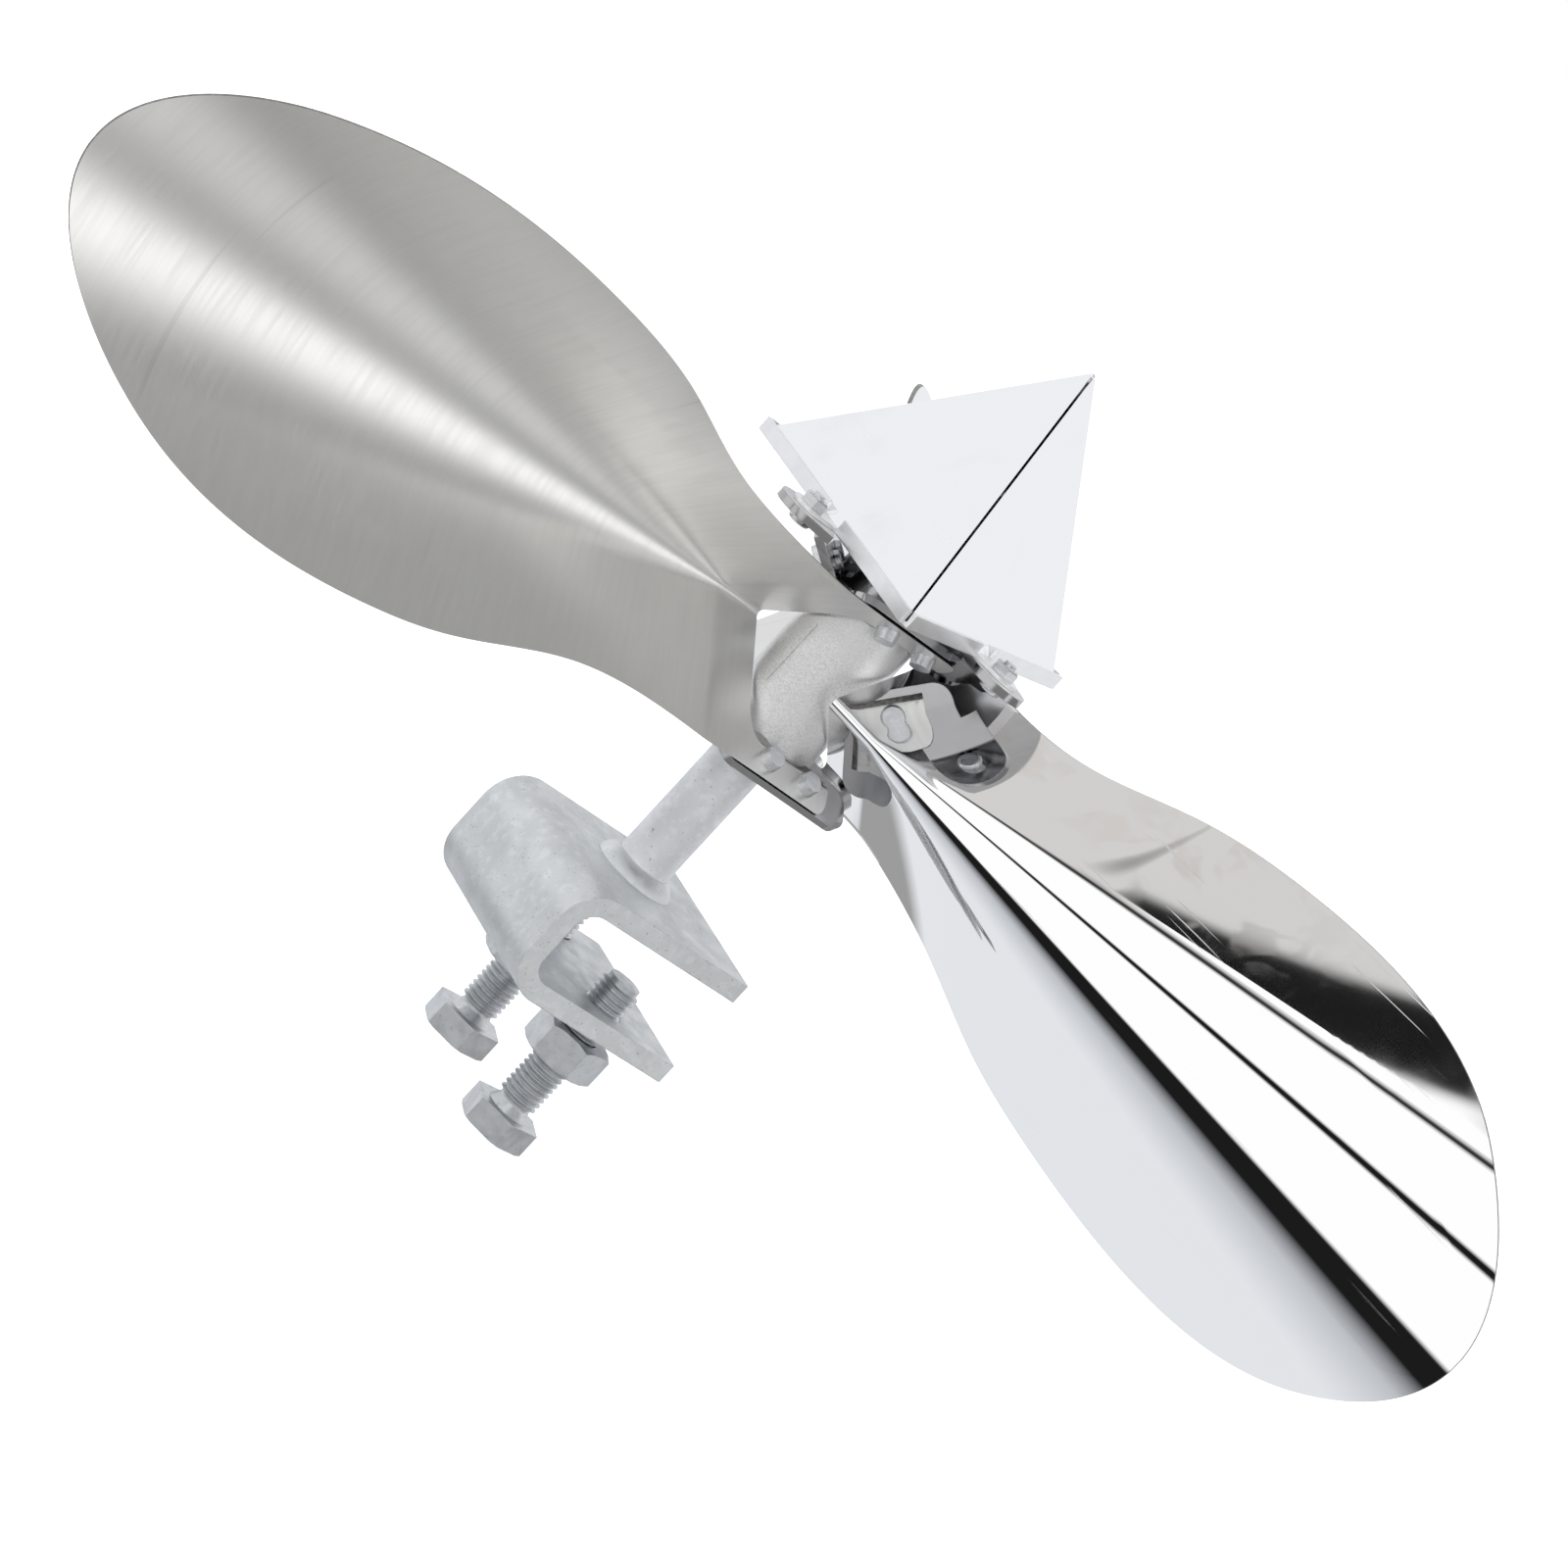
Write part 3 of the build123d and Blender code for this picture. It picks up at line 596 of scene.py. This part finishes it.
# The mirrors need something to reflect, so the surroundings are banded and not plain. Their
# directions are fixed in the scene, but they are arranged about the photographed view: the bands'
# elevations and levels, and the cards' edges, were fitted to where light and dark lie on the
# blades in the photograph. The camera itself sees plain white.
RIPPLE_SCALE = 1.6
RIPPLE_DEPTH = 0.02
world = bpy.data.worlds.new("studio")
bpy.context.scene.world = world
world.use_nodes = True
nodes, links = world.node_tree.nodes, world.node_tree.links
direction = nodes.new("ShaderNodeTexCoord").outputs["Generated"]
split = nodes.new("ShaderNodeSeparateXYZ")
links.new(direction, split.inputs[0])
ripple = nodes.new("ShaderNodeTexNoise")
ripple.inputs["Scale"].default_value = RIPPLE_SCALE
ripple.inputs["Detail"].default_value = 1.0
links.new(direction, ripple.inputs["Vector"])
shift = nodes.new("ShaderNodeMath")
shift.operation = "MULTIPLY_ADD"
shift.inputs[1].default_value = RIPPLE_DEPTH
links.new(ripple.outputs["Fac"], shift.inputs[0])
links.new(split.outputs["Z"], shift.inputs[2])
spread = nodes.new("ShaderNodeMapRange")
spread.inputs["From Min"].default_value = RIPPLE_DEPTH / 2 - 1
spread.inputs["From Max"].default_value = RIPPLE_DEPTH / 2 + 1
links.new(shift.outputs[0], spread.inputs["Value"])
PALE, BLACK, WHITE = (0.84, 0.86, 0.89), (0.012, 0.012, 0.012), (1.10, 1.10, 1.10)
DULL, LIGHT, BRIGHT = (0.36, 0.36, 0.36), (0.70, 0.69, 0.68), (0.88, 0.885, 0.90)
COOL, SLATE, SHADE = (0.70, 0.72, 0.76), (0.56, 0.58, 0.61), (0.30, 0.31, 0.33)
SOFT, GLARE, MIDDLE = (0.74, 0.74, 0.74), (1.35, 1.35, 1.35), (0.55, 0.55, 0.55)
# Elevation in degrees and colour, from straight down to straight up. Front is where the picture
# is taken from, back is behind the object, and right is the picture's right before its roll.
FRONT_BANDS = (
    (-90, PALE), (-60, PALE), (-47, COOL), (-36, SLATE), (-30, SHADE), (-25, BLACK), (-15, BLACK),
    (-13, WHITE), (22, WHITE), (23.5, BLACK), (25.5, BLACK), (27, WHITE), (56.3, WHITE),
    (57.3, BLACK), (58.3, BLACK), (59.2, LIGHT), (66, LIGHT), (74, DULL), (90, DULL),
)
BACK_BANDS = (
    (-90, PALE), (-46, PALE), (-42, DULL), (-32, DULL), (-18, PALE), (8, BRIGHT), (40, BRIGHT),
    (44, LIGHT), (62, LIGHT), (74, DULL), (90, DULL),
)
RIGHT_BANDS = (
    (-90, DULL), (-50, DULL), (-38, SOFT), (-24, SOFT), (-14, DULL), (-2, DULL), (6, GLARE),
    (20, GLARE), (34, MIDDLE), (46, DULL), (90, DULL),
)
# A black card overhead and a white one that goes on from its end. Each edge is a lean towards a
# direction, from where it starts to where it is full.
CARD_EDGE = Vector((0.0672, -0.5638, -0.8232))
CARD_EDGE_LEAN = (-0.9083, -0.9075)
CARD_END = Vector((0.6806, 0.7277, 0.0852))
CARD_END_LEAN = (0.0043, 0.0063)
WHITE_CARD_LEAN = (-0.0063, -0.0043)
CARD_BOTTOM_LEAN = (0.862, 0.866)
CARD_TOP_LEAN = (-0.897, -0.893)
# Where the front bands give way to the back ones, and where the right-hand ones come in
FRONT_LEAN = (-0.03, -0.005)
RIGHT_LEAN = (0.0, 0.20)
RIGHT_FRONT_LEAN = (-0.46, -0.34)


def banded_ramp(bands):
    """Colours by the direction's elevation."""
    ramp = nodes.new("ShaderNodeValToRGB")
    links.new(spread.outputs["Result"], ramp.inputs["Fac"])
    while len(ramp.color_ramp.elements) < len(bands):
        ramp.color_ramp.elements.new(0.5)
    for element, (elevation, color) in zip(ramp.color_ramp.elements, bands):
        element.position = (sin(radians(elevation)) + 1) / 2
        element.color = (*color, 1)
    return ramp.outputs["Color"]


def leaning(target, low, high):
    """0 to 1 as a direction's lean towards the target goes from low to high."""
    lean = nodes.new("ShaderNodeVectorMath")
    lean.operation = "DOT_PRODUCT"
    lean.inputs[1].default_value = target
    links.new(direction, lean.inputs[0])
    share = nodes.new("ShaderNodeMapRange")
    share.inputs["From Min"].default_value = low
    share.inputs["From Max"].default_value = high
    links.new(lean.outputs["Value"], share.inputs["Value"])
    return share.outputs["Result"]


def blended(share, first, second):
    """The first colour where the share is 0, and the second where it is 1."""
    node = nodes.new("ShaderNodeMix")
    node.data_type = "RGBA"
    for socket, value in ((0, share), (6, first), (7, second)):
        links.new(value, node.inputs[socket])
    return node.outputs[2]


def plain_color(color):
    node = nodes.new("ShaderNodeRGB")
    node.outputs[0].default_value = (*color, 1)
    return node.outputs[0]


def both(first, second):
    """The product of two shares, which is 1 only where both are."""
    node = nodes.new("ShaderNodeMath")
    node.operation = "MULTIPLY"
    links.new(first, node.inputs[0])
    links.new(second, node.inputs[1])
    return node.outputs[0]


left_side = blended(
    leaning(-away, *FRONT_LEAN), banded_ramp(BACK_BANDS), banded_ramp(FRONT_BANDS)
)
card_rows = both(leaning(UP, *CARD_BOTTOM_LEAN), leaning(-UP, *CARD_TOP_LEAN))
card_corner = both(leaning(CARD_EDGE, *CARD_EDGE_LEAN), leaning(CARD_END, *CARD_END_LEAN))
left_side = blended(both(card_corner, card_rows), left_side, plain_color(BLACK))
white_card = both(leaning(-CARD_END, *WHITE_CARD_LEAN), card_rows)
left_side = blended(white_card, left_side, plain_color(WHITE))
right_share = both(leaning(right, *RIGHT_LEAN), leaning(-away, *RIGHT_FRONT_LEAN))
surroundings = blended(right_share, left_side, banded_ramp(RIGHT_BANDS))
banded = nodes["Background"]
links.new(surroundings, banded.inputs["Color"])
white = nodes.new("ShaderNodeBackground")
white.inputs["Color"].default_value = (1, 1, 1, 1)
mix = nodes.new("ShaderNodeMixShader")
path = nodes.new("ShaderNodeLightPath")
links.new(path.outputs["Is Camera Ray"], mix.inputs[0])
links.new(banded.outputs[0], mix.inputs[1])
links.new(white.outputs[0], mix.inputs[2])
links.new(mix.outputs[0], nodes["World Output"].inputs["Surface"])


def soft_light(name, azimuth, elevation, distance, size, power):
    """A square soft box that looks at the hub from a direction given in the picture's terms."""
    lamp = bpy.data.lights.new(name, "AREA")
    lamp.energy = power
    lamp.size = size
    holder = bpy.data.objects.new(name, lamp)
    bpy.context.collection.objects.link(holder)
    turn = Matrix.Rotation(radians(azimuth), 3, "Z") @ -away
    facing = turn * cos(radians(elevation)) + Vector((0, 0, sin(radians(elevation))))
    holder.location = Vector((0, 0, blade_level)) + facing * distance
    holder.rotation_mode = "QUATERNION"
    holder.rotation_quaternion = facing.to_track_quat("Z", "Y")
    holder.visible_glossy = False


soft_light("key", azimuth=-40, elevation=50, distance=1.6, size=1.0, power=18)
soft_light("fill", azimuth=60, elevation=25, distance=1.8, size=1.2, power=8)

scene = bpy.context.scene
scene.view_settings.view_transform = "Standard"
scene.view_settings.look = "None"
